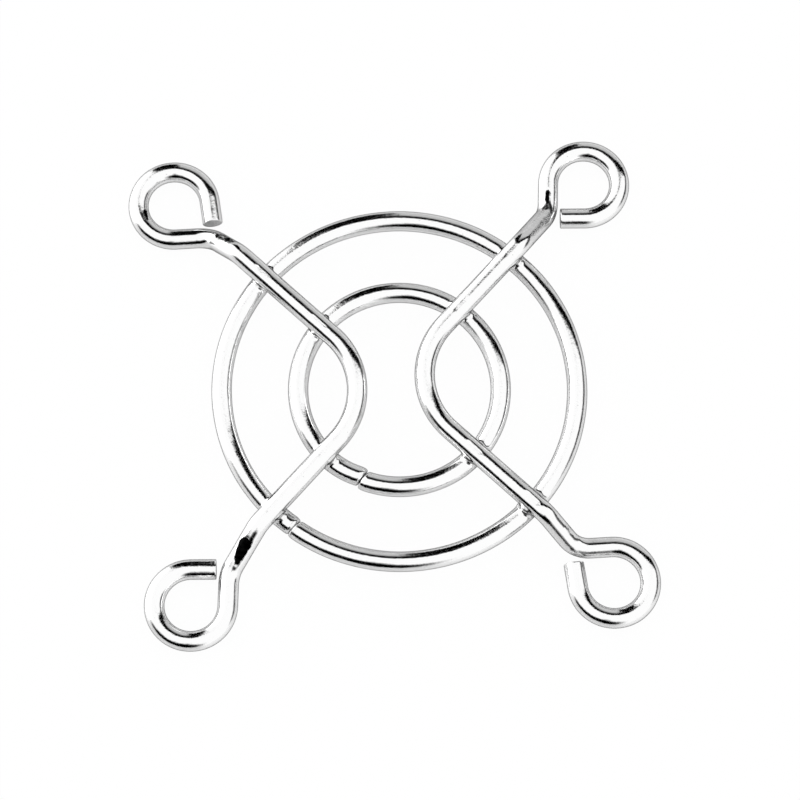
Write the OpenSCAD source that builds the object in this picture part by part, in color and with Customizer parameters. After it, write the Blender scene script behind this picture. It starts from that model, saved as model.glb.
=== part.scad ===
// Wire finger guard for a 40 mm axial fan.
// Two bent support wires end in screw eyes and carry two butt-welded rings.
// The rings are resistance welded to the undersides of the supports.
// Origin: middle of the hole pattern, on the plane the screw eyes stand on. +Z points away from the fan.

/* [Fan fit] */
// Distance between screw hole centres, the same along X and Y
hole_pitch = 32; // [31.5:0.5:36]
// Clear hole inside each screw eye
eye_bore = 4.0; // [3.4:0.1:4.2]

/* [Wire] */
// Diameter of the plated round wire, one stock for rings and supports
wire_d = 1.55; // [1.2:0.05:1.8]
// Bevel that the cutter leaves round each wire end
end_bevel = 0.12; // [0.05:0.01:0.3]

/* [Rings] */
// Mean diameter of the outer ring, wire centre to wire centre
outer_ring_d = 27.2; // [24:0.2:28]
// Mean diameter of the inner ring, wire centre to wire centre
inner_ring_d = 15.5; // [14.5:0.1:18]
// Free height under the rings, from the plane of the screw eyes
ring_lift = 1.0; // [0.6:0.1:2]
// Distance of the ring centres from the middle of the hole pattern along X
ring_shift_x = 0.65; // [-1:0.05:1]
// Distance of the ring centres from the middle of the hole pattern along Y
ring_shift_y = -0.15; // [-1:0.05:1]
// Direction of the outer ring's butt weld, seen from its centre
outer_seam_at = 231.5; // [229:0.5:246]
// Direction of the inner ring's butt weld, seen from its centre
inner_seam_at = 248.5; // [242:0.5:290]
// Step between the two wire ends at the outer ring's butt weld
outer_seam_step = 0.08; // [0.06:0.01:0.3]
// Step between the two wire ends at the inner ring's butt weld
inner_seam_step = 0.22; // [0.06:0.01:0.4]

/* [Ring welds] */
// How far a ring is pressed into the support wire at each crossing
weld_set_down = 0.18; // [0.05:0.01:0.4]
// Diameter of the metal squeezed out around each crossing
nugget_d = 2.0; // [1.7:0.05:2.2]

/* [Support wires] */
// Distance between the corners of the two vees, where their arms would cross
vee_gap = 0.4; // [0:0.1:2]
// Distance of each vee's corner from the hole pattern's middle line, towards its second arm
vee_skew = 0.2; // [0:0.05:1]
// Bend radius at the middle of a vee, to the wire's centre
vee_bend_r = 5.9; // [4:0.1:6.2]
// Bend radius where an arm leaves the ring plane, to the wire's centre
step_bend_r = 1.7; // [1.2:0.1:2.2]
// Bend radius where an arm lands and turns towards its eye, to the wire's centre
foot_bend_r = 2.1; // [1.4:0.1:2.4]

/* [First arm] */
// Distance from the outer ring's line to the corner where the first arm starts down
first_step_at = 2.0; // [1.4:0.1:2.2]
// Distance from the first eye's centre back along the arm to where its slope lands
first_foot_at = 3.85; // [3.4:0.05:5]
// Distance of that landing corner from the arm's line, to the left seen from the vee
first_foot_aside = 0; // [0:0.1:0.8]
// Angle through which the first eye is curled
first_eye_curl = 265; // [240:1:268]

/* [Second arm] */
// Distance from the outer ring's line to the corner where the second arm starts down
second_step_at = 1.1; // [0.8:0.1:1.4]
// Distance from the second eye's centre back along the arm to where its slope lands
second_foot_at = 3.7; // [3.4:0.05:5]
// Distance of that landing corner from the arm's line, to the left seen from the vee
second_foot_aside = 0.5; // [0:0.1:0.8]
// Angle through which the second eye is curled
second_eye_curl = 268; // [240:1:270]

/* [Eye tails] */
// Straight length left after each eye's curl
eye_tail = 1.9; // [1:0.1:2.2]

/* [Hidden] */
$fn = 48;

bend_swell = 0.01;  // a bent stretch is this much thicker than a straight one
lap = 0.03;         // a straight runs this far into the bend that it meets
seam_arc = 30;      // arc over which a ring's last end drifts out of line
seam_bevel = 0.1;   // bevel of the two wire ends at a butt weld
chrome = "Gainsboro";

wire_r = wire_d / 2;
eye_r = eye_bore / 2 + wire_r;
eye_z = (wire_d + bend_swell) / 2;
ring_z = ring_lift + wire_r;
arm_z = ring_z + wire_d - weld_set_down;
outer_r = outer_ring_d / 2;
inner_r = inner_ring_d / 2;
ring_centre = [ring_shift_x, ring_shift_y];

// Corner of the left vee and its two eyes, one end after the other
vee_corner = [-vee_gap / 2, -vee_skew];
first_eye = [-hole_pitch / 2, hole_pitch / 2];
second_eye = [-hole_pitch / 2, -hole_pitch / 2];

// An arm is a list of five values, in this order
EYE = 0;
STEP_AT = 1;
FOOT_AT = 2;
FOOT_ASIDE = 3;
CURL = 4;
first_arm = [first_eye, first_step_at, first_foot_at, first_foot_aside, first_eye_curl];
second_arm = [second_eye, second_step_at, second_foot_at, second_foot_aside, second_eye_curl];

// ---- vectors ----
function unit(v) = v / norm(v);
function turned(v, a) = [v.x * cos(a) - v.y * sin(a), v.x * sin(a) + v.y * cos(a)];
function at_height(p, z) = [p.x, p.y, z];
function bend_angle(a, corner, b) = acos(unit(corner - a) * unit(b - corner));
function bend_cut(a, corner, b, r) = r * tan(bend_angle(a, corner, b) / 2);
function bend_start(a, corner, b, r) = corner + unit(a - corner) * bend_cut(a, corner, b, r);
function bend_end(a, corner, b, r) = corner + unit(b - corner) * bend_cut(a, corner, b, r);

// ---- the route of one arm, from the vee's corner to the tail of its eye ----
function arm_way(arm) = unit(arm[EYE] - vee_corner);
function step_head(arm) = vee_corner + arm_way(arm) * (outer_r + arm[STEP_AT]);
function step_foot(arm) =
    arm[EYE] - arm_way(arm) * arm[FOOT_AT] + turned(arm_way(arm), 90) * arm[FOOT_ASIDE];
function eye_reach(arm) = arm[EYE] - step_foot(arm);
function eye_way(arm) = turned(unit(eye_reach(arm)), asin(eye_r / norm(eye_reach(arm))));
function eye_touch(arm) = arm[EYE] + turned(eye_way(arm), 90) * eye_r;
function arm_corners(arm) = [
    at_height(vee_corner, arm_z),
    at_height(step_head(arm), arm_z),
    at_height(step_foot(arm), eye_z),
    at_height(eye_touch(arm), eye_z)
];

// Where an arm of the left support crosses a circle
function crossing(arm, r, centre) =
    let (off = vee_corner - centre, along = off * arm_way(arm))
    vee_corner + arm_way(arm) * (sqrt(along * along - off * off + r * r) - along);
// The right support is the left one turned half round
function crossing_right(arm, r, centre) = -crossing(arm, r, -centre);

// ---- wire forms ----
// Straight wire from a to b, lapped into the bends at both its ends
module straight(a, b) {
    run = b - a;
    translate(a - unit(run) * lap)
        rotate([0, acos(run.z / norm(run)), atan2(run.y, run.x)])
            cylinder(h = norm(run) + 2 * lap, d = wire_d);
}

// Section of a bent stretch, r away from the bend's axis. Where two bends meet, one swells
// twice as much, so that the other ends inside it.
module bent_section(r, swells = 1) translate([r, 0]) circle(d = wire_d + swells * bend_swell);

// Bent wire round a corner, between the straights that come from a and go on to b
module bend(a, corner, b, r) {
    angle = bend_angle(a, corner, b);
    along = unit(corner - a);
    out = unit(b - corner);
    inward = unit(out - along * (along * out));
    from = -inward;
    up = cross(from, along);
    middle = bend_start(a, corner, b, r) + inward * r;
    multmatrix([
        [from.x, along.x, up.x, middle.x],
        [from.y, along.y, up.y, middle.y],
        [from.z, along.z, up.z, middle.z]
    ])
        rotate_extrude(angle = angle) bent_section(r);
}

// Cut end of the wire, with its bevel
module wire_end(length, bevel) {
    rotate_extrude()
        polygon([
            [0, 0],
            [wire_r, 0],
            [wire_r, length - bevel],
            [wire_r - bevel, length],
            [0, length]
        ]);
}

// Screw eye curled clockwise from the touching point, with its straight tail
module screw_eye(arm) {
    start = turned(eye_way(arm), 90);
    start_at = atan2(start.y, start.x);
    translate(at_height(arm[EYE], eye_z))
        rotate([0, 0, start_at - arm[CURL]]) {
            rotate_extrude(angle = arm[CURL]) bent_section(eye_r);
            translate([eye_r, lap, 0])
                rotate([90, 0, 0]) wire_end(eye_tail + lap, end_bevel);
        }
}

// One arm beyond the vee bend: straight, step down, straight to the eye, eye
module support_arm(arm, from) {
    c = arm_corners(arm);
    straight(from, bend_start(c[0], c[1], c[2], step_bend_r));
    bend(c[0], c[1], c[2], step_bend_r);
    straight(bend_end(c[0], c[1], c[2], step_bend_r), bend_start(c[1], c[2], c[3], foot_bend_r));
    bend(c[1], c[2], c[3], foot_bend_r);
    straight(bend_end(c[1], c[2], c[3], foot_bend_r), c[3]);
    screw_eye(arm);
}

module support_wire() {
    first = arm_corners(first_arm);
    second = arm_corners(second_arm);
    bend(first[1], first[0], second[1], vee_bend_r);
    support_arm(first_arm, bend_start(first[1], first[0], second[1], vee_bend_r));
    support_arm(second_arm, bend_end(first[1], first[0], second[1], vee_bend_r));
}

module left_support() support_wire();
module right_support() rotate([0, 0, 180]) support_wire();

// Ring bent from one length of wire. Its last end is curled a little tighter, so the two
// bevelled ends meet with a step at the butt weld, where the wire runs straight.
module bent_ring(r, seam_at, step) {
    tighter = step / (1 - cos(seam_arc));
    flat = tighter * sin(seam_arc) / 2;
    lap_angle = lap / r * 180 / PI;
    end_length = lap + flat + lap / 2; // from inside the bend to just past the seam
    rotate([0, 0, seam_at]) {
        rotate_extrude(angle = 360 - seam_arc + lap_angle) bent_section(r);
        rotate([0, 0, -seam_arc])
            translate([tighter, 0, 0])
                rotate_extrude(angle = seam_arc) bent_section(r - tighter, 2);
        translate([r, lap, 0]) rotate([90, 0, 0]) wire_end(end_length, seam_bevel);
        translate([r - step, -2 * flat - lap, 0])
            rotate([-90, 0, 0]) wire_end(end_length, seam_bevel);
    }
}

// Ring with its squeezed-out weld metal, seated on the undersides of both supports
module welded_ring(r, seam_at, step) {
    nugget_z = ring_z + (arm_z - ring_z) / 2;
    difference() {
        union() {
            translate(at_height(ring_centre, ring_z)) bent_ring(r, seam_at, step);
            for (arm = [first_arm, second_arm]) {
                translate(at_height(crossing(arm, r, ring_centre), nugget_z)) sphere(d = nugget_d);
                translate(at_height(crossing_right(arm, r, ring_centre), nugget_z)) sphere(d = nugget_d);
            }
        }
        left_support();
        right_support();
    }
}

// ---- pieces ----
module left_support_wire() color(chrome) left_support();
module right_support_wire() color(chrome) right_support();
module outer_ring() color(chrome) welded_ring(outer_r, outer_seam_at, outer_seam_step);
module inner_ring() color(chrome) welded_ring(inner_r, inner_seam_at, inner_seam_step);

left_support_wire();
right_support_wire();
outer_ring();
inner_ring();
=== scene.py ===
import math

import bpy
import numpy as np
from mathutils import Matrix, Vector


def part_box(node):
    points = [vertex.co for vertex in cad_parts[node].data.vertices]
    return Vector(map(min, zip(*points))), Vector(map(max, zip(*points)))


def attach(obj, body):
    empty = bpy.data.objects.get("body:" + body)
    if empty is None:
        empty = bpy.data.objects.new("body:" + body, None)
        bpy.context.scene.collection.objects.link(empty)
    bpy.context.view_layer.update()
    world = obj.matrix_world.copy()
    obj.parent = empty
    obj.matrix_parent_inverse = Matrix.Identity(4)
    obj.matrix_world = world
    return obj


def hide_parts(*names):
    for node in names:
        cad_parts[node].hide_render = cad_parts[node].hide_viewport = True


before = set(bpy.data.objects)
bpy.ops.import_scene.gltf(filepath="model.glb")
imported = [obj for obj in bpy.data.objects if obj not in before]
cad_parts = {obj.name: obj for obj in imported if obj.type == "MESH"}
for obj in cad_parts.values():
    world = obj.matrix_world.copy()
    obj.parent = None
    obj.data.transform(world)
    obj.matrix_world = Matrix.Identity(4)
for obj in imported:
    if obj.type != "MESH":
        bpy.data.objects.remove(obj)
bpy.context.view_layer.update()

scene = bpy.context.scene
MM = 0.001                # the wires are worked out in millimetres, and the rest in metres
UP = Vector((0.0, 0.0, 1.0))

# ---- wire stock and bends ----
WIRE_R = 0.775
BEND_SWELL = 0.005        # the frame's bends are this much fatter in radius than its straights
EYE_BORE = 4.0
EYE_R = EYE_BORE / 2 + WIRE_R
EYE_TAIL = 1.9
VEE_BEND_R = 5.9
STEP_BEND_R = 1.7
FOOT_BEND_R = 2.1
VEE_GAP = 0.4
VEE_SKEW = 0.2

# ---- butt welds of the rings ----
# Direction of the seam in degrees, and how far its last end stands out of line
OUTER_SEAM_AT, OUTER_SEAM_STEP = 231.5, 0.08
INNER_SEAM_AT, INNER_SEAM_STEP = 248.5, 0.22
SEAM_ARC = math.radians(30)   # arc over which that end drifts out of line
# How much thinner the wire is at a seam, as a share, and how far the seam leans
SEAMS = {"outer_ring": (0.05, math.radians(8)), "inner_ring": (0.08, math.radians(15))}
SEAM_LENGTH = 0.4
SEAM_HEAT, SEAM_HEAT_HALF, SEAM_HEAT_EDGE = 0.2, 0.1, 0.3

# ---- how a wire is drawn ----
CAGE_SIDES = 16           # edges round the wire before it is subdivided
CAGE_STEP = 0.4           # spacing of the cage's loops along the wire
SUBDIVISIONS = 2
# A subdivided cage lies inside its corners, so the cage is drawn this much larger
CAGE_R = WIRE_R * 6 / (4 + 2 * math.cos(2 * math.pi / CAGE_SIDES))
TAIL_RIMS, SEAM_RIMS = (0.12, 0.12), (0.3, 0.36)   # rounded rims of the first and the last end
NEAR = 1.0                # a point belongs to a stretch if its place along the wire is this near
END_KEPT = 0.35           # the cut ends keep the drawn shape over this length
CUT_DEPTH, CUT_INSET = 0.02, 0.1                   # what of an end counts as its cut face

# ---- unevenness ----
UNEVEN, UNEVEN_WAVE = 0.004, 1.6                   # height and length of the wire's slow swells
SEEDS = {"left_wire": 11, "right_wire": 23, "outer_hoop": 37, "inner_hoop": 53}
# A ripple is a sum of this many waves, with lengths of these shares of its own
RIPPLE_WAVES, RIPPLE_SHORTEST, RIPPLE_LONGEST = 9, 1.4, 3.2
RIPPLE_PEAK = 1.5         # what the sum is divided by, so that it stays near -1 to 1

# ---- welded crossings ----
# The fillet left by the squeezed-out metal, for each ring and arm
FILLETS = {
    ("outer_ring", "back_left"): 0.50, ("outer_ring", "front_left"): 0.55,
    ("outer_ring", "front_right"): 0.68, ("outer_ring", "back_right"): 0.55,
    ("inner_ring", "back_left"): 0.50, ("inner_ring", "front_left"): 0.52,
    ("inner_ring", "front_right"): 0.58, ("inner_ring", "back_right"): 0.50,
}
FILLET_REACH = 2.6        # fillets are looked for within this of a crossing
FILLET_CHANGE, FILLET_WAVE = 0.18, 0.45            # share by which a fillet's size ripples
FILLET_HEAT = 0.15        # a fillet this high is all weld metal
FILLET_TOP = 1 - math.sqrt(0.5)                    # its height where it slopes 45 degrees, as a share
FILLET_ROUNDS, FILLET_EASE = 12, 0.6               # rounds of settling, and the share of each
# How deep the electrode has flattened a support's top and a ring's underside
ELECTRODE_DEPTHS = {
    ("outer_ring", "back_left"): 0.025, ("outer_ring", "front_left"): 0.012,
    ("outer_ring", "front_right"): 0.060, ("outer_ring", "back_right"): 0.015,
    ("inner_ring", "back_left"): 0.025, ("inner_ring", "front_left"): 0.012,
    ("inner_ring", "front_right"): 0.040, ("inner_ring", "back_right"): 0.015,
}
ELECTRODE_HALF, ELECTRODE_EDGE = 0.55, 0.35

# ---- marks of the bending tools ----
# From, to, reach at each, depth (a hump where it is negative), how dark the plating is painted there
# That darkness is lost plating together with a painted dark reflection
TOOL_MARKS = {
    "left_wire": [((-12.6, 12.9, 2.3), (-11.6, 11.9, 3.0), (0.7, 0.6), 0.02, 0.5),
                  ((-18.3, 15.4, 1.3), (-18.2, 14.8, 1.3), (0.4, 0.4), 0.02, 0.62),
                  ((-11.8, -12.1, 2.95), (-12.45, -13.3, 1.85), (0.9, 0.25), 0.05, 1.0)],
    "right_wire": [((13.1, 15.3, 1.5), (12.9, 14.0, 1.9), (0.32, 0.5), 0.03, 0.66),
                   ((12.8, 13.4, 2.0), (11.4, 11.4, 3.0), (0.8, 0.7), 0.015, 0.25),
                   ((12.6, -12.1, 2.4), (12.6, -12.1, 2.4), (0.5, 0.5), -0.03, 0.0),
                   ((13.0, -13.7, 1.4), (13.0, -13.7, 1.4), (0.5, 0.5), -0.03, 0.4)],
}
MARK_CORE = 0.3           # share of its reach over which a mark is full
MARK_CHANGE, MARK_WAVE, MARK_SEED = 0.5, 0.25, 5   # share by which a mark's depth ripples

# ---- plated finish ----
CHROME = (0.985, 0.985, 0.985, 1.0)
EDGE_TINT = (0.2, 0.2, 0.2, 1.0)
# Scale, detail and roughness of noises on Object coordinates, in metres
PLATING_NOISE, SWELL_NOISE = (7000.0, 3.0, 0.55), (900.0, 1.0, 0.5)
MELT_NOISE, PIT_NOISE = (3200.0, 4.0, 0.6), (5200.0, 2.0, 0.7)
# The same of noises on places in the wire, in millimetres, and their stretch along and across it
DRAWN_NOISE, DRAWN_STRETCH = (1.0, 3.0, 0.6), (0.5, 9.0, 9.0)
SCUFF_NOISE, SCUFF_STRETCH = (1.0, 3.0, 0.6), (9.0, 1.2, 1.2)
TORN_NOISE, TORN_STRETCH = (1.0, 5.0, 0.75), (2.0, 3.5, 3.5)
NOISE_MIDDLE = 0.5
# Heights of the relief, in metres
PLATING_HEIGHT, SWELL_HEIGHT, DRAWN_HEIGHT = 0.0000045, 0.000012, 0.000004
MELT_HEIGHT, SCUFF_HEIGHT, CUT_HEIGHT = 0.000018, 0.00002, 0.000015
# Where a noise starts and ends a change, and the two values that it changes between
PLATING_ROUGH = (0.3, 0.7, 0.06, 0.14)
PIT_SHADE = (0.70, 0.78, 1.0, 0.45)
WELD_DULL = (0.35, 0.7, 0.0, 0.2)
# Lost plating and painted dark reflection: the plating is painted almost black on the tool marks
LOSS_AND_REFLECTION_SHADE = (0.40, 0.52, 1.0, 0.003)
WELD_ROUGH, TOOL_ROUGH, CUT_ROUGH = 0.12, 0.12, 0.15   # what each adds to the roughness
CUT_DULL = 0.1            # what a cut face loses of its shade
RAGGED = 1.2              # how far the torn noise moves the edge of a painted-dark patch of lost plating

# ---- studio, in metres ----
FLOOR_HALF = 3.0
FLOOR_DROP = 0.00002      # how far the floor lies under the eyes
FLOOR_GREY, FLOOR_ROUGHNESS, FLOOR_IOR = 0.86, 0.35, 3.0   # of the floor that the wires reflect
SHADOW_KEPT = 0.04        # share of the seen floor that takes shadow
BLACK = 0.0
CARD_WALL = 1.2           # distance of the cards; one that overlaps another has a share of its own
GAP_WALL = 0.98 * CARD_WALL
GAP_LOW_SHADE, GAP_HIGH_SHADE = 0.55, 0.08
FADE_LOW, FADE_HIGH = 0.5 * CARD_WALL, 1.15 * CARD_WALL    # heights of those two shades
# Corners of the cards behind the object, right and up per metre of distance
BACK_CARD = [(-0.41, -0.1), (-0.41, 0.1), (-0.41, 0.41), (-0.37, 0.77), (-0.32, 1.08), (-0.29, 1.50),
             (-0.25, 1.79), (-0.14, 2.2), (0.05, 2.75), (0.33, 2.7), (0.62, 2.5), (0.90, 2.2), (1.15, 1.9),
             (1.4, 1.6), (1.65, 1.3), (1.9, 1.0), (2.15, 0.75), (2.4, 0.4), (2.5, -0.1)]
BACK_GAP = [(0.04, -0.1), (0.05, 1.15), (0.27, 1.2), (0.50, 1.15), (0.65, 1.02), (0.80, 0.87), (0.95, 0.66),
            (1.12, 0.42), (1.28, 0.2), (1.35, -0.1)]
# Soft-edged cards: name, azimuth, elevation, half width and half height in degrees (azimuth 0 is
# behind the object, 90 right of it), shade, how much they cover, distance
SOFT_CARDS = [
    ("front_dark", 196, 22, 38, 37, BLACK, 1.0, CARD_WALL),
    ("front_side_dark", 230, 17, 42, 28, BLACK, 1.0, 1.02 * CARD_WALL),
    ("front_streak", 192, 46, 8, 26, BLACK, 0.6, 1.04 * CARD_WALL),
    ("right_dark", 84, 9, 34, 18, 0.03, 0.95, CARD_WALL),
    ("left_light", 300, 20, 40, 42, 3.0, 1.0, CARD_WALL),
]
SOFT_FROM = 0.42          # a soft card fades from this share of its half size

# ---- camera ----
CAMERA_AZIMUTH = math.radians(-4.81)
CAMERA_ELEVATION = math.radians(73.36)
CAMERA_ROLL = math.radians(1.59)
CAMERA_DISTANCE = 276.4 * MM
CAMERA_NEAR, CAMERA_FAR = 0.01, 10.0
LENS, SENSOR = 162.0, 36.0
AIM_RIGHT, AIM_UP = 0.706 * MM, -0.660 * MM


# ---- places that come from the frame ----
def box_mm(node):
    """The lowest and the highest corner of one of the frame's pieces."""
    low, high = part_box(node)
    return low / MM, high / MM


support_low, support_high = box_mm("left_support_wire")
ring_low, ring_high = box_mm("outer_ring")
inner_low, inner_high = box_mm("inner_ring")
SKIN = WIRE_R + BEND_SWELL
HALF_PITCH = (support_high.y - support_low.y) / 2 - EYE_R - SKIN
EYE_Z = support_low.z + SKIN
ARM_Z = support_high.z - SKIN
RING_Z = ring_low.z + SKIN
OUTER_R = (ring_high.x - ring_low.x) / 2 - SKIN
INNER_R = (inner_high.x - inner_low.x) / 2 - SKIN
RING_CENTRE = Vector(((ring_high.x + ring_low.x) / 2, (ring_high.y + ring_low.y) / 2))

# An arm's eye, its slope's start past the outer ring's line, its slope's end before the eye
# and beside the arm's line, and the degrees that its eye is curled
FIRST_ARM = dict(eye=Vector((-HALF_PITCH, HALF_PITCH)), head=2.0, foot=3.85, aside=0.0, curl=265.0)
SECOND_ARM = dict(eye=Vector((-HALF_PITCH, -HALF_PITCH)), head=1.1, foot=3.7, aside=0.5, curl=268.0)
VEE_CORNER = Vector((-VEE_GAP / 2, -VEE_SKEW))


# ---- the wire's route, as straight and bent stretches ----
class Stretch:
    """A straight or bent length of wire. A bend turns by angle about axis, through middle."""

    def __init__(self, start, end, middle=None, axis=None, angle=0.0):
        self.start, self.end = start, end
        self.middle, self.axis, self.angle = middle, axis, angle
        self.length = (end - start).length if middle is None else angle * (start - middle).length

    def back(self):
        """The same stretch, run the other way."""
        axis = None if self.axis is None else -self.axis
        return Stretch(self.end, self.start, self.middle, axis, self.angle)

    def way(self):
        """Direction of the wire where the stretch starts."""
        if self.middle is None:
            return (self.end - self.start).normalized()
        return self.axis.cross(self.start - self.middle).normalized()

    def half_turned(self):
        """The same stretch, turned half round the middle of the hole pattern."""
        half = Matrix.Rotation(math.pi, 3, "Z")
        if self.middle is None:
            return Stretch(half @ self.start, half @ self.end)
        return Stretch(half @ self.start, half @ self.end, half @ self.middle, half @ self.axis, self.angle)


def turned(v, angle):
    """A direction in plan, turned anticlockwise."""
    return Matrix.Rotation(angle, 2) @ v


def bend(a, corner, b, radius):
    """The bend round a corner between straights that come from a and go on to b."""
    along, out = (corner - a).normalized(), (b - corner).normalized()
    angle = along.angle(out)
    cut = radius * math.tan(angle / 2)
    inward = (out - along * along.dot(out)).normalized()
    start = corner - along * cut
    return Stretch(start, corner + out * cut, start + inward * radius, along.cross(out).normalized(), angle)


def arm_corners(arm):
    """Corners of an arm's route from the vee's corner to the touching point of its eye."""
    way = (arm["eye"] - VEE_CORNER).normalized()
    head = VEE_CORNER + way * (OUTER_R + arm["head"])
    foot = arm["eye"] - way * arm["foot"] + turned(way, math.pi / 2) * arm["aside"]
    reach = arm["eye"] - foot
    eye_way = turned(reach.normalized(), math.asin(EYE_R / reach.length))
    touch = arm["eye"] + turned(eye_way, math.pi / 2) * EYE_R
    return (Vector((*VEE_CORNER, ARM_Z)), Vector((*head, ARM_Z)),
            Vector((*foot, EYE_Z)), Vector((*touch, EYE_Z)))


def arm_route(arm, start):
    """Stretches of one arm, from the end of the vee bend to the tail of the eye."""
    vee, head, foot, touch = arm_corners(arm)
    step_bend = bend(vee, head, foot, STEP_BEND_R)
    foot_bend = bend(head, foot, touch, FOOT_BEND_R)
    eye = Vector((*arm["eye"], EYE_Z))
    curl = math.radians(arm["curl"])
    tail_start = eye + Matrix.Rotation(-curl, 3, "Z") @ (touch - eye)
    tail_way = (-UP).cross(tail_start - eye).normalized()
    return [
        Stretch(start, step_bend.start),
        step_bend,
        Stretch(step_bend.end, foot_bend.start),
        foot_bend,
        Stretch(foot_bend.end, touch),
        Stretch(touch, tail_start, eye, -UP, curl),
        Stretch(tail_start, tail_start + tail_way * EYE_TAIL),
    ]


def support_route():
    """The left support, from the tail of its first eye to the tail of its second."""
    vee, first_head = arm_corners(FIRST_ARM)[:2]
    second_head = arm_corners(SECOND_ARM)[1]
    vee_bend = bend(first_head, vee, second_head, VEE_BEND_R)
    first = [stretch.back() for stretch in reversed(arm_route(FIRST_ARM, vee_bend.start))]
    return first + [vee_bend] + arm_route(SECOND_ARM, vee_bend.end)


def ring_route(radius, seam_at, step):
    """A ring from its seam round to the other side of the seam, where the end is curled tighter."""
    tighter = step / (1 - math.cos(SEAM_ARC))
    middle = Vector((*RING_CENTRE, RING_Z))
    seam = Matrix.Rotation(math.radians(seam_at), 3, "Z")
    knee = Matrix.Rotation(math.radians(seam_at) - SEAM_ARC, 3, "Z")
    start = middle + seam @ Vector((radius, 0, 0))
    knee_at = middle + knee @ Vector((radius, 0, 0))
    tight_middle = middle + knee @ Vector((tighter, 0, 0))
    end = tight_middle + seam @ Vector((radius - tighter, 0, 0))
    flat = tighter * math.sin(SEAM_ARC) / 2
    tangent = UP.cross(seam @ Vector((1, 0, 0)))
    return [
        Stretch(start - tangent * flat, start),
        Stretch(start, knee_at, middle, UP, 2 * math.pi - SEAM_ARC),
        Stretch(knee_at, end, tight_middle, UP, SEAM_ARC),
        Stretch(end, end + tangent * flat),
    ]


def wire_places(points, route, along=None):
    """For each point: its place along the route, the nearest place on the centre line, its
    place across the wire in a frame that goes along without twisting, and its distance."""
    count = len(points)
    distance = np.full(count, np.inf)
    run, centre, across = np.zeros(count), np.zeros((count, 3)), np.zeros((count, 2))
    done = 0.0
    side = np.array(route[0].way().orthogonal().normalized())
    for stretch in route:
        way, start = np.array(stretch.way()), np.array(stretch.start)
        rise = np.cross(way, side)
        if stretch.middle is None:
            run_here = ((points - start) @ way).clip(0, stretch.length)
            place = start + run_here[:, None] * way
            off = points - place
            y, z = off @ side, off @ rise
        else:
            middle, axis = np.array(stretch.middle), np.array(stretch.axis)
            radius = np.linalg.norm(start - middle)
            spoke = (start - middle) / radius
            from_middle = points - middle
            turn = np.arctan2(from_middle @ way, from_middle @ spoke) % (2 * math.pi)
            turn = np.where(turn > math.pi + stretch.angle / 2, 0, turn.clip(0, stretch.angle))
            cos, sin = np.cos(turn)[:, None], np.sin(turn)[:, None]
            out, ahead = spoke * cos + way * sin, way * cos - spoke * sin
            place = middle + out * radius
            off = points - place
            unbent = ((off * out).sum(1)[:, None] * spoke + (off * ahead).sum(1)[:, None] * way
                      + (off @ axis)[:, None] * axis)
            y, z = unbent @ side, unbent @ rise
            run_here = turn * radius
            side = np.array(Matrix.Rotation(stretch.angle, 3, stretch.axis) @ Vector(side))
        away = np.linalg.norm(off, axis=1)
        closer = away < distance
        if along is not None:
            closer = (along > done - NEAR) & (along < done + stretch.length + NEAR) & closer
        distance[closer] = away[closer]
        run[closer] = done + run_here[closer]
        centre[closer] = place[closer]
        across[closer] = np.stack([y, z], 1)[closer]
        done += stretch.length
    return run, centre, across, distance


# ---- drawing a wire ----
def edit(piece):
    """Puts one piece alone in edit mode."""
    bpy.ops.object.select_all(action="DESELECT")
    piece.select_set(True)
    bpy.context.view_layer.objects.active = piece
    bpy.ops.object.mode_set(mode="EDIT")


def close_end(rim):
    """Closes the selected loop with a cut face that has a rim of that size."""
    bpy.ops.mesh.edge_face_add()
    bpy.ops.mesh.inset(thickness=rim * MM)


def draw_wire(name, route, rims):
    """A round wire drawn along its route from a circle, with a cut face at each end. rims gives
    how much of the rim is rounded, at the start and at the end."""
    start_way = route[0].way()
    bpy.ops.object.select_all(action="DESELECT")
    bpy.ops.mesh.primitive_circle_add(vertices=CAGE_SIDES, radius=CAGE_R * MM, fill_type="NOTHING",
                                      location=route[0].start * MM,
                                      rotation=start_way.to_track_quat("Z", "Y").to_euler())
    piece = bpy.context.object
    piece.name = name
    bpy.ops.object.transform_apply(location=True, rotation=True, scale=True)
    edit(piece)
    bpy.ops.mesh.select_all(action="SELECT")
    loops = [0.0]         # how far along the wire each loop of the cage lies

    def straight_on(way, length):
        """Makes the wire longer by one loop."""
        bpy.ops.mesh.extrude_region_move(TRANSFORM_OT_translate={"value": way * length * MM})
        loops.append(loops[-1] + length)

    lengths = [stretch.length for stretch in route]
    lengths[0] -= rims[0]
    lengths[-1] -= rims[1]
    straight_on(start_way, rims[0])
    for stretch, length in zip(route, lengths):
        steps = max(1, math.ceil(length / CAGE_STEP))
        if stretch.middle is None:
            for _ in range(steps):
                straight_on(stretch.way(), length / steps)
        else:
            bpy.ops.mesh.spin(steps=steps, angle=stretch.angle, center=stretch.middle * MM,
                              axis=-stretch.axis)
            loops += [loops[-1] + length / steps * k for k in range(1, steps + 1)]
    straight_on(route[-1].way(), rims[1])
    close_end(rims[1])
    bpy.ops.mesh.select_all(action="DESELECT")
    bpy.ops.object.mode_set(mode="OBJECT")
    for vertex in piece.data.vertices[:CAGE_SIDES]:
        vertex.select = True
    edit(piece)
    close_end(rims[0])
    bpy.ops.mesh.select_all(action="SELECT")
    bpy.ops.mesh.normals_make_consistent(inside=False)
    bpy.ops.object.mode_set(mode="OBJECT")

    loops += [loops[-1], 0.0]   # the insets of the last and of the first end
    along = piece.data.attributes.new("along", "FLOAT", "POINT")
    for index, place in enumerate(along.data):
        place.value = loops[index // CAGE_SIDES]
    smooth = piece.modifiers.new("smooth", "SUBSURF")
    smooth.levels = smooth.render_levels = SUBDIVISIONS
    bpy.ops.object.modifier_apply(modifier="smooth")
    bpy.ops.object.shade_smooth()
    return piece


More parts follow.
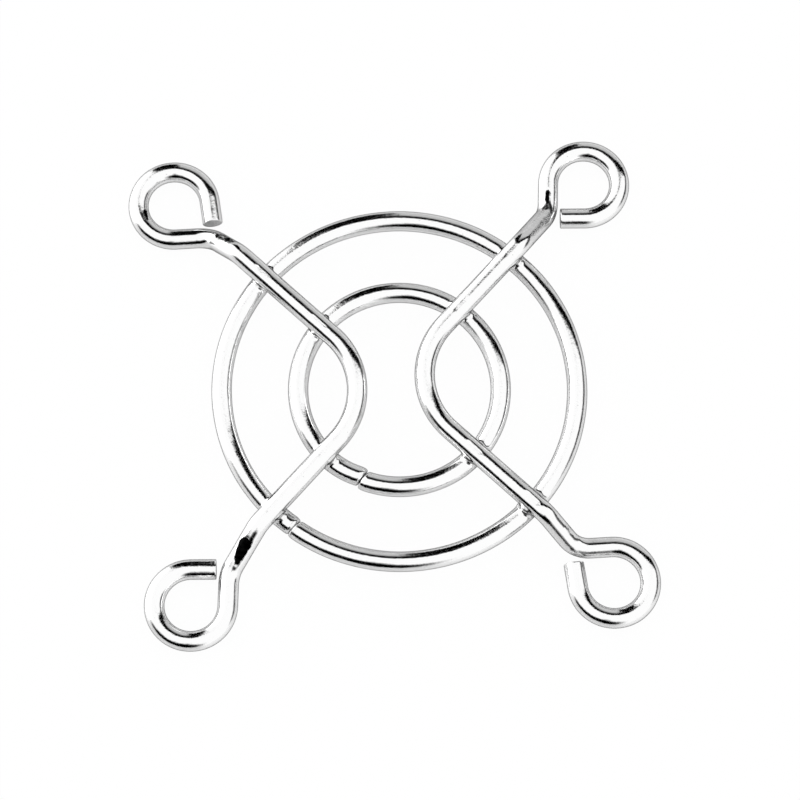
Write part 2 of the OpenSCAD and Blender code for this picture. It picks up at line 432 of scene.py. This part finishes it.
def points_of(piece):
    """The piece's vertices in millimetres."""
    points = np.empty(len(piece.data.vertices) * 3, np.float32)
    piece.data.vertices.foreach_get("co", points)
    return points.reshape(-1, 3).astype(float) / MM


def values_of(piece, name):
    """One of the piece's attributes."""
    values = np.empty(len(piece.data.vertices), np.float32)
    piece.data.attributes[name].data.foreach_get("value", values)
    return values


def put_values(piece, name, values):
    """Keeps values as an attribute that the finish reads."""
    piece.data.attributes.new(name, "FLOAT", "POINT").data.foreach_set("value", values.astype(np.float32))


# ---- shaping a wire ----
def smooth_step(low, high, x):
    """0 up to low, 1 from high on, and a smooth rise between."""
    share = ((x - low) / (high - low)).clip(0, 1)
    return share * share * (3 - 2 * share)


def hump(x, half, edge):
    """1 within half of zero, falling to 0 over the edge beyond it."""
    return 1 - smooth_step(half, half + edge, np.abs(x))


def ripple(points, seed, wave):
    """Smooth random values of about -1 to 1 that change over the distance wave."""
    chance = np.random.default_rng(seed)
    total = np.zeros(len(points))
    for _ in range(RIPPLE_WAVES):
        way = chance.normal(size=3)
        length = wave * chance.uniform(RIPPLE_SHORTEST, RIPPLE_LONGEST)
        way *= 2 * math.pi / (length * np.linalg.norm(way))
        total += np.sin(points @ way + chance.uniform(0, 2 * math.pi))
    return total * math.sqrt(2 / RIPPLE_WAVES) / RIPPLE_PEAK


def crossings():
    """Where each ring passes under each arm, in plan."""
    found = {}
    for ring, radius in (("outer_ring", OUTER_R), ("inner_ring", INNER_R)):
        for arm_name, arm, half_turn in (("back_left", FIRST_ARM, 1), ("front_left", SECOND_ARM, 1),
                                         ("front_right", FIRST_ARM, -1), ("back_right", SECOND_ARM, -1)):
            corner = VEE_CORNER * half_turn
            way = (arm["eye"] - VEE_CORNER).normalized() * half_turn
            off = corner - RING_CENTRE
            along = off.dot(way)
            reach = math.sqrt(along * along - off.length_squared + radius * radius) - along
            found[ring, arm_name] = np.array(corner + way * reach)
    return found


CROSSINGS = crossings()


def at_crossings(points, sizes, own_ring):
    """The size at the crossing nearest to each point, and how far off the crossing is. A ring
    has only its own crossings."""
    nearest, size = np.full(len(points), np.inf), np.zeros(len(points))
    for (ring, arm), place in CROSSINGS.items():
        if own_ring in (None, ring):
            away = np.linalg.norm(points[:, :2] - place, axis=1)
            size[away < nearest] = sizes[ring, arm]
            nearest = np.minimum(nearest, away)
    return size, nearest


def lean_seam(points, centre, from_seam, thinner, slant):
    """Thins the two ends of a ring's wire at its seam and leans them."""
    fade = 1 - smooth_step(0, SEAM_LENGTH, from_seam)
    outward = centre[:, :2] - np.array(RING_CENTRE)
    outward /= np.linalg.norm(outward, axis=1)[:, None]
    ahead = np.column_stack([-outward[:, 1], outward[:, 0]])
    across_ring = ((points - centre)[:, :2] * outward).sum(1)
    points -= (points - centre) * (thinner * fade)[:, None]
    points[:, :2] -= ahead * (across_ring * math.tan(slant) * fade)[:, None]


def add_fillets(points, out, wall, others, own_ring, seed):
    """Raises weld metal on the wall towards the other routes. Gives how much of it each point is."""
    size, near = at_crossings(points, FILLETS, own_ring)
    size = size * (1 + FILLET_CHANGE * ripple(points, seed, FILLET_WAVE))
    close = wall & (near < FILLET_REACH)
    start, away, size_here = points[close], out[close], size[close]
    highest = FILLET_TOP * size_here
    height = np.zeros(len(start))
    for _ in range(FILLET_ROUNDS):
        moved = start + away * height[:, None]
        gap = np.full(len(start), np.inf)
        for other in others:
            gap = np.minimum(gap, wire_places(moved, other)[3] - WIRE_R)
        lean = (size_here - gap).clip(0, size_here)
        wanted = size_here - np.sqrt(size_here ** 2 - lean ** 2)
        height += (np.minimum(wanted, highest) - height) * FILLET_EASE
    points[close] = start + away * height[:, None]
    heat = np.zeros(len(points))
    heat[close] = (height / FILLET_HEAT).clip(0, 1)
    return heat


def press_electrodes(points, own_ring):
    """Flattens a support's top, or a ring's underside, where the electrodes pressed."""
    depth, near = at_crossings(points, ELECTRODE_DEPTHS, own_ring)
    press = depth * hump(near, ELECTRODE_HALF, ELECTRODE_EDGE)
    if own_ring:
        points[:, 2] = np.maximum(points[:, 2], RING_Z - WIRE_R + press)
    else:
        points[:, 2] = np.minimum(points[:, 2], ARM_Z + WIRE_R - press)


def press_tools(points, out, wall, marks):
    """Dents the wall where tools held the wire. Gives each point's mark and how dark its plating is painted
    there, for lost plating with a painted dark reflection.
    """
    tool, loss_and_dark_reflection = np.zeros(len(points)), np.zeros(len(points))
    for first, last, reaches, dent, dark in marks:
        start, way = np.array(first), np.array(last) - np.array(first)
        share = ((points - start) @ way / max(way @ way, 1e-9)).clip(0, 1)
        away = np.linalg.norm(points - start - share[:, None] * way, axis=1)
        reach = reaches[0] + (reaches[1] - reaches[0]) * share
        pressed = (1 - smooth_step(MARK_CORE, 1.0, away / reach)) * wall
        change = 1 + MARK_CHANGE * ripple(points, MARK_SEED, MARK_WAVE)
        points -= out * (dent * pressed * change)[:, None]
        tool = np.maximum(tool, pressed)
        loss_and_dark_reflection = np.maximum(loss_and_dark_reflection, pressed * dark)
    return tool, loss_and_dark_reflection


def shape_wire(piece, route, others, own_ring=None):
    """Makes the wire exactly round and slightly uneven, then adds the seam of its own ring, the
    weld metal towards the other routes and the marks of the tools. Leaves attributes of them."""
    points = points_of(piece)
    seed = SEEDS[piece.name]
    run, centre, across, distance = wire_places(points, route, values_of(piece, "along"))
    total = sum(stretch.length for stretch in route)
    from_end = np.minimum(run, total - run)
    wall = from_end > END_KEPT
    out = (points - centre) / np.maximum(distance, 1e-6)[:, None]
    uneven = UNEVEN * ripple(points, seed, UNEVEN_WAVE)
    even = centre + out * (WIRE_R + uneven)[:, None]
    points[wall] = even[wall]
    if own_ring:
        lean_seam(points, centre, from_end, *SEAMS[own_ring])
    heat = add_fillets(points, out, wall, others, own_ring, seed + 1)
    if own_ring:
        heat = np.maximum(heat, SEAM_HEAT * hump(from_end, SEAM_HEAT_HALF, SEAM_HEAT_EDGE))
    press_electrodes(points, own_ring)
    tool, loss_and_dark_reflection = press_tools(points, out, wall, TOOL_MARKS.get(piece.name, ()))

    piece.data.vertices.foreach_set("co", (points * MM).astype(np.float32).ravel())
    piece.data.update()
    place = piece.data.attributes.new("wire_place", "FLOAT_VECTOR", "POINT")
    place.data.foreach_set("vector", np.column_stack([run, across]).astype(np.float32).ravel())
    put_values(piece, "weld_heat", heat)
    put_values(piece, "tool_mark", tool)
    put_values(piece, "loss_and_dark_reflection_mark", loss_and_dark_reflection)
    put_values(piece, "cut_face", (from_end < CUT_DEPTH) & (distance < WIRE_R - CUT_INSET))
    piece.data.attributes.remove(piece.data.attributes["along"])


LEFT_ROUTE = support_route()
RIGHT_ROUTE = [stretch.half_turned() for stretch in LEFT_ROUTE]
OUTER_ROUTE = ring_route(OUTER_R, OUTER_SEAM_AT, OUTER_SEAM_STEP)
INNER_ROUTE = ring_route(INNER_R, INNER_SEAM_AT, INNER_SEAM_STEP)

left_wire = draw_wire("left_wire", LEFT_ROUTE, TAIL_RIMS)
right_wire = draw_wire("right_wire", RIGHT_ROUTE, TAIL_RIMS)
outer_hoop = draw_wire("outer_hoop", OUTER_ROUTE, SEAM_RIMS)
inner_hoop = draw_wire("inner_hoop", INNER_ROUTE, SEAM_RIMS)
shape_wire(left_wire, LEFT_ROUTE, (OUTER_ROUTE, INNER_ROUTE))
shape_wire(right_wire, RIGHT_ROUTE, (OUTER_ROUTE, INNER_ROUTE))
shape_wire(outer_hoop, OUTER_ROUTE, (LEFT_ROUTE, RIGHT_ROUTE), "outer_ring")
shape_wire(inner_hoop, INNER_ROUTE, (LEFT_ROUTE, RIGHT_ROUTE), "inner_ring")


# ---- shader helpers ----
def shader_group(name, inputs, outputs):
    """An empty node group. inputs and outputs map socket names to their kinds."""
    group = bpy.data.node_groups.new(name, "ShaderNodeTree")
    for sockets, way in ((inputs, "INPUT"), (outputs, "OUTPUT")):
        for socket, kind in sockets.items():
            group.interface.new_socket(socket, in_out=way, socket_type="NodeSocket" + kind)
    return group, group.nodes.new("NodeGroupInput"), group.nodes.new("NodeGroupOutput")


def noise(tree, vector, scale, detail, roughness):
    """A noise on a vector, as a grey of 0 to 1."""
    node = tree.nodes.new("ShaderNodeTexNoise")
    node.inputs["Scale"].default_value = scale
    node.inputs["Detail"].default_value = detail
    node.inputs["Roughness"].default_value = roughness
    tree.links.new(vector, node.inputs["Vector"])
    return node.outputs["Fac"]


def scaled(tree, vector, factors):
    """A vector with each of its parts times its own factor."""
    node = tree.nodes.new("ShaderNodeVectorMath")
    node.operation = "MULTIPLY"
    node.inputs[1].default_value = factors
    tree.links.new(vector, node.inputs[0])
    return node.outputs[0]


def combined(tree, operation, value, other, clamp=False):
    """A math node on a value and on another value or a number."""
    node = tree.nodes.new("ShaderNodeMath")
    node.operation = operation
    node.use_clamp = clamp
    tree.links.new(value, node.inputs[0])
    if isinstance(other, float):
        node.inputs[1].default_value = other
    else:
        tree.links.new(other, node.inputs[1])
    return node.outputs[0]


def ranged(tree, value, low, high, to_low, to_high):
    """to_low up to low, to_high from high on, and a smooth change between."""
    node = tree.nodes.new("ShaderNodeMapRange")
    node.interpolation_type = "SMOOTHSTEP"
    for name, number in (("From Min", low), ("From Max", high), ("To Min", to_low), ("To Max", to_high)):
        node.inputs[name].default_value = number
    tree.links.new(value, node.inputs["Value"])
    return node.outputs["Result"]


# ---- plated finish ----
def make_surface_group():
    """Relief, shade and roughness of drawn, bent, welded and plated wire."""
    group, given, result = shader_group(
        "plated_wire_surface",
        {"Place": "Vector", "Along": "Vector", "Weld": "Float", "Tool": "Float", "Cut": "Float",
         "LossAndDarkReflection": "Float"},
        {"Roughness": "Float", "Shade": "Float", "Height": "Float"})
    place, along, loss_and_dark_reflection = given.outputs["Place"], given.outputs["Along"], given.outputs["LossAndDarkReflection"]
    weld, tool, cut = given.outputs["Weld"], given.outputs["Tool"], given.outputs["Cut"]
    plating = noise(group, place, *PLATING_NOISE)
    swell = noise(group, place, *SWELL_NOISE)
    melt = noise(group, place, *MELT_NOISE)
    pit = noise(group, place, *PIT_NOISE)
    drawn = noise(group, scaled(group, along, DRAWN_STRETCH), *DRAWN_NOISE)
    scuff = noise(group, scaled(group, along, SCUFF_STRETCH), *SCUFF_NOISE)
    torn = noise(group, scaled(group, along, TORN_STRETCH), *TORN_NOISE)

    height = combined(group, "MULTIPLY", plating, PLATING_HEIGHT)
    for value, size in ((swell, SWELL_HEIGHT), (drawn, DRAWN_HEIGHT)):
        height = combined(group, "ADD", height, combined(group, "MULTIPLY", value, size))
    for value, mask, size in ((melt, weld, MELT_HEIGHT), (scuff, tool, SCUFF_HEIGHT),
                              (melt, cut, CUT_HEIGHT)):
        part = combined(group, "MULTIPLY", combined(group, "MULTIPLY", value, size), mask)
        height = combined(group, "ADD", height, part)

    rough = ranged(group, plating, *PLATING_ROUGH)
    for mask, size in ((weld, WELD_ROUGH), (tool, TOOL_ROUGH), (cut, CUT_ROUGH)):
        rough = combined(group, "ADD", rough, combined(group, "MULTIPLY", mask, size))

    pitted = ranged(group, pit, *PIT_SHADE)
    dull = combined(group, "MULTIPLY", weld, ranged(group, melt, *WELD_DULL))
    shade = combined(group, "SUBTRACT", pitted, dull, True)
    shade = combined(group, "SUBTRACT", shade, combined(group, "MULTIPLY", cut, CUT_DULL), True)
    # Painted dark reflection with lost plating: ragged near-black patches on the tool marks
    tear = combined(group, "MULTIPLY", combined(group, "SUBTRACT", torn, NOISE_MIDDLE), RAGGED)
    loss_and_reflection_shade = ranged(group, combined(group, "ADD", loss_and_dark_reflection, tear), *LOSS_AND_REFLECTION_SHADE)
    shade = combined(group, "MULTIPLY", shade, loss_and_reflection_shade)

    group.links.new(rough, result.inputs["Roughness"])
    group.links.new(shade, result.inputs["Shade"])
    group.links.new(height, result.inputs["Height"])
    return group


def make_chrome():
    """Bright chrome plate, darker where it is pitted or burnt by a weld, and painted near black on tool
    marks as lost plating with a painted dark reflection.
    """
    material = bpy.data.materials.new("chrome_plate")
    material.use_nodes = True
    tree = material.node_tree
    shader = tree.nodes["Principled BSDF"]
    shader.inputs["Metallic"].default_value = 1.0
    shader.inputs["Specular Tint"].default_value = EDGE_TINT
    surface = tree.nodes.new("ShaderNodeGroup")
    surface.node_tree = make_surface_group()
    place = tree.nodes.new("ShaderNodeTexCoord")
    tree.links.new(place.outputs["Object"], surface.inputs["Place"])
    for name, output, socket in (("wire_place", "Vector", "Along"), ("weld_heat", "Fac", "Weld"),
                                 ("tool_mark", "Fac", "Tool"), ("cut_face", "Fac", "Cut"),
                                 ("loss_and_dark_reflection_mark", "Fac", "LossAndDarkReflection")):
        attribute = tree.nodes.new("ShaderNodeAttribute")
        attribute.attribute_name = name
        tree.links.new(attribute.outputs[output], surface.inputs[socket])
    colour = tree.nodes.new("ShaderNodeMix")
    colour.data_type = "RGBA"
    colour.inputs["A"].default_value = (0.0, 0.0, 0.0, 1.0)
    colour.inputs["B"].default_value = CHROME
    tree.links.new(surface.outputs["Shade"], colour.inputs["Factor"])
    tree.links.new(colour.outputs["Result"], shader.inputs["Base Color"])
    tree.links.new(surface.outputs["Roughness"], shader.inputs["Roughness"])
    bump = tree.nodes.new("ShaderNodeBump")
    bump.inputs["Strength"].default_value = 1.0
    bump.inputs["Distance"].default_value = 1.0
    tree.links.new(surface.outputs["Height"], bump.inputs["Height"])
    tree.links.new(bump.outputs["Normal"], shader.inputs["Normal"])
    return material


chrome = make_chrome()
for piece, node in ((left_wire, "left_support_wire"), (right_wire, "right_support_wire"),
                    (outer_hoop, "outer_ring"), (inner_hoop, "inner_ring")):
    piece.data.materials.append(chrome)
    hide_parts(node)
    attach(piece, "root")


# ---- studio ----
def stage_material(name):
    """An empty material: its node tree and its output socket."""
    material = bpy.data.materials.new(name)
    material.use_nodes = True
    tree = material.node_tree
    tree.nodes.remove(tree.nodes["Principled BSDF"])
    return material, tree, tree.nodes["Material Output"].inputs["Surface"]


def glow(tree, shade):
    """An emission shader of one grey."""
    node = tree.nodes.new("ShaderNodeEmission")
    node.inputs["Color"].default_value = (shade, shade, shade, 1)
    return node


def mixed(tree, first, second):
    """A mix of two shaders: its Fac is 0 for the first and 1 for the second."""
    node = tree.nodes.new("ShaderNodeMixShader")
    tree.links.new(first.outputs[0], node.inputs[1])
    tree.links.new(second.outputs[0], node.inputs[2])
    return node


def make_floor():
    """A floor that is seen white with a trace of shadow, and reflected as satin."""
    bpy.ops.mesh.primitive_plane_add(size=2 * FLOOR_HALF, location=(0, 0, -FLOOR_DROP))
    floor = bpy.context.object
    floor.name = "floor"
    material, tree, surface = stage_material("floor")
    satin = tree.nodes.new("ShaderNodeBsdfPrincipled")
    satin.inputs["Base Color"].default_value = (FLOOR_GREY, FLOOR_GREY, FLOOR_GREY, 1)
    satin.inputs["Roughness"].default_value = FLOOR_ROUGHNESS
    satin.inputs["IOR"].default_value = FLOOR_IOR
    lit = tree.nodes.new("ShaderNodeBsdfDiffuse")
    lit.inputs["Color"].default_value = (1, 1, 1, 1)
    seen = mixed(tree, glow(tree, 1.0), lit)
    seen.inputs["Fac"].default_value = SHADOW_KEPT
    either = mixed(tree, satin, seen)
    ray = tree.nodes.new("ShaderNodeLightPath")
    tree.links.new(ray.outputs["Is Camera Ray"], either.inputs["Fac"])
    tree.links.new(either.outputs[0], surface)
    floor.data.materials.append(material)


def make_world():
    """Plain white light from all round."""
    world = bpy.data.worlds.new("studio")
    scene.world = world
    world.use_nodes = True
    world.node_tree.nodes["Background"].inputs["Color"].default_value = (1, 1, 1, 1)
    world.node_tree.nodes["Background"].inputs["Strength"].default_value = 1.0


def only_reflected(card):
    """Stages a card that only the wires reflect."""
    card.visible_camera = False
    card.visible_shadow = False
    card.visible_diffuse = False
    card.visible_transmission = False


def make_card(name, corners, wall, low_shade, high_shade):
    """A flat card behind the object, whose shade changes between FADE_LOW and FADE_HIGH."""
    bpy.ops.object.select_all(action="DESELECT")
    bpy.ops.mesh.primitive_circle_add(vertices=len(corners), fill_type="NGON")
    card = bpy.context.object
    card.name = name
    for vertex, (right, up) in zip(card.data.vertices, corners):
        vertex.co = (right * wall, wall, up * wall)
    card.data.update()
    material, tree, surface = stage_material(name)
    place = tree.nodes.new("ShaderNodeTexCoord")
    split = tree.nodes.new("ShaderNodeSeparateXYZ")
    tree.links.new(place.outputs["Object"], split.inputs[0])
    shade = ranged(tree, split.outputs["Z"], FADE_LOW, FADE_HIGH, low_shade, high_shade)
    light = glow(tree, 1.0)
    tree.links.new(shade, light.inputs["Color"])
    tree.links.new(light.outputs[0], surface)
    card.data.materials.append(material)
    only_reflected(card)


def make_soft_card(name, azimuth, elevation, half_wide, half_high, shade, cover, wall):
    """A card with soft edges that stands upright round the object."""
    way = Vector((math.sin(math.radians(azimuth)), math.cos(math.radians(azimuth)), 0))
    right = Vector((way.y, -way.x, 0)) * math.tan(math.radians(half_wide))
    up = UP * math.tan(math.radians(half_high))
    middle = way + UP * math.tan(math.radians(elevation))
    bpy.ops.object.select_all(action="DESELECT")
    bpy.ops.mesh.primitive_plane_add(size=2)
    card = bpy.context.object
    card.name = name
    for vertex in card.data.vertices:
        vertex.co = (middle + right * vertex.co.x + up * vertex.co.y) * wall
    card.data.update()
    material, tree, surface = stage_material(name)
    place = tree.nodes.new("ShaderNodeTexCoord")
    # places on the card, from -1 to 1 about its middle
    centred = tree.nodes.new("ShaderNodeVectorMath")
    centred.operation = "MULTIPLY_ADD"
    centred.inputs[1].default_value = (2, 2, 0)
    centred.inputs[2].default_value = (-1, -1, 0)
    tree.links.new(place.outputs["UV"], centred.inputs[0])
    from_middle = tree.nodes.new("ShaderNodeVectorMath")
    from_middle.operation = "LENGTH"
    tree.links.new(centred.outputs[0], from_middle.inputs[0])
    either = mixed(tree, tree.nodes.new("ShaderNodeBsdfTransparent"), glow(tree, shade))
    cover_here = ranged(tree, from_middle.outputs["Value"], SOFT_FROM, 1.0, cover, 0.0)
    tree.links.new(cover_here, either.inputs["Fac"])
    tree.links.new(either.outputs[0], surface)
    card.data.materials.append(material)
    only_reflected(card)


def make_camera():
    """The camera, which looks down on the guard from the front."""
    back = Vector((math.sin(CAMERA_AZIMUTH) * math.cos(CAMERA_ELEVATION),
                   -math.cos(CAMERA_AZIMUTH) * math.cos(CAMERA_ELEVATION),
                   math.sin(CAMERA_ELEVATION)))
    level = Vector((math.cos(CAMERA_AZIMUTH), math.sin(CAMERA_AZIMUTH), 0.0))
    right = Matrix.Rotation(CAMERA_ROLL, 3, back) @ level
    up = back.cross(right)
    aim = UP * WIRE_R * MM + right * AIM_RIGHT + up * AIM_UP
    data = bpy.data.cameras.new("camera")
    data.lens, data.sensor_width = LENS, SENSOR
    data.clip_start, data.clip_end = CAMERA_NEAR, CAMERA_FAR
    camera = bpy.data.objects.new("camera", data)
    scene.collection.objects.link(camera)
    camera.rotation_mode = "QUATERNION"
    camera.rotation_quaternion = Matrix((right, up, back)).transposed().to_quaternion()
    camera.location = aim + back * CAMERA_DISTANCE
    scene.camera = camera


make_world()
make_floor()
make_card("back_card", BACK_CARD, CARD_WALL, BLACK, BLACK)
make_card("back_gap", BACK_GAP, GAP_WALL, GAP_LOW_SHADE, GAP_HIGH_SHADE)
for soft_card in SOFT_CARDS:
    make_soft_card(*soft_card)
make_camera()
scene.view_settings.view_transform = "Standard"
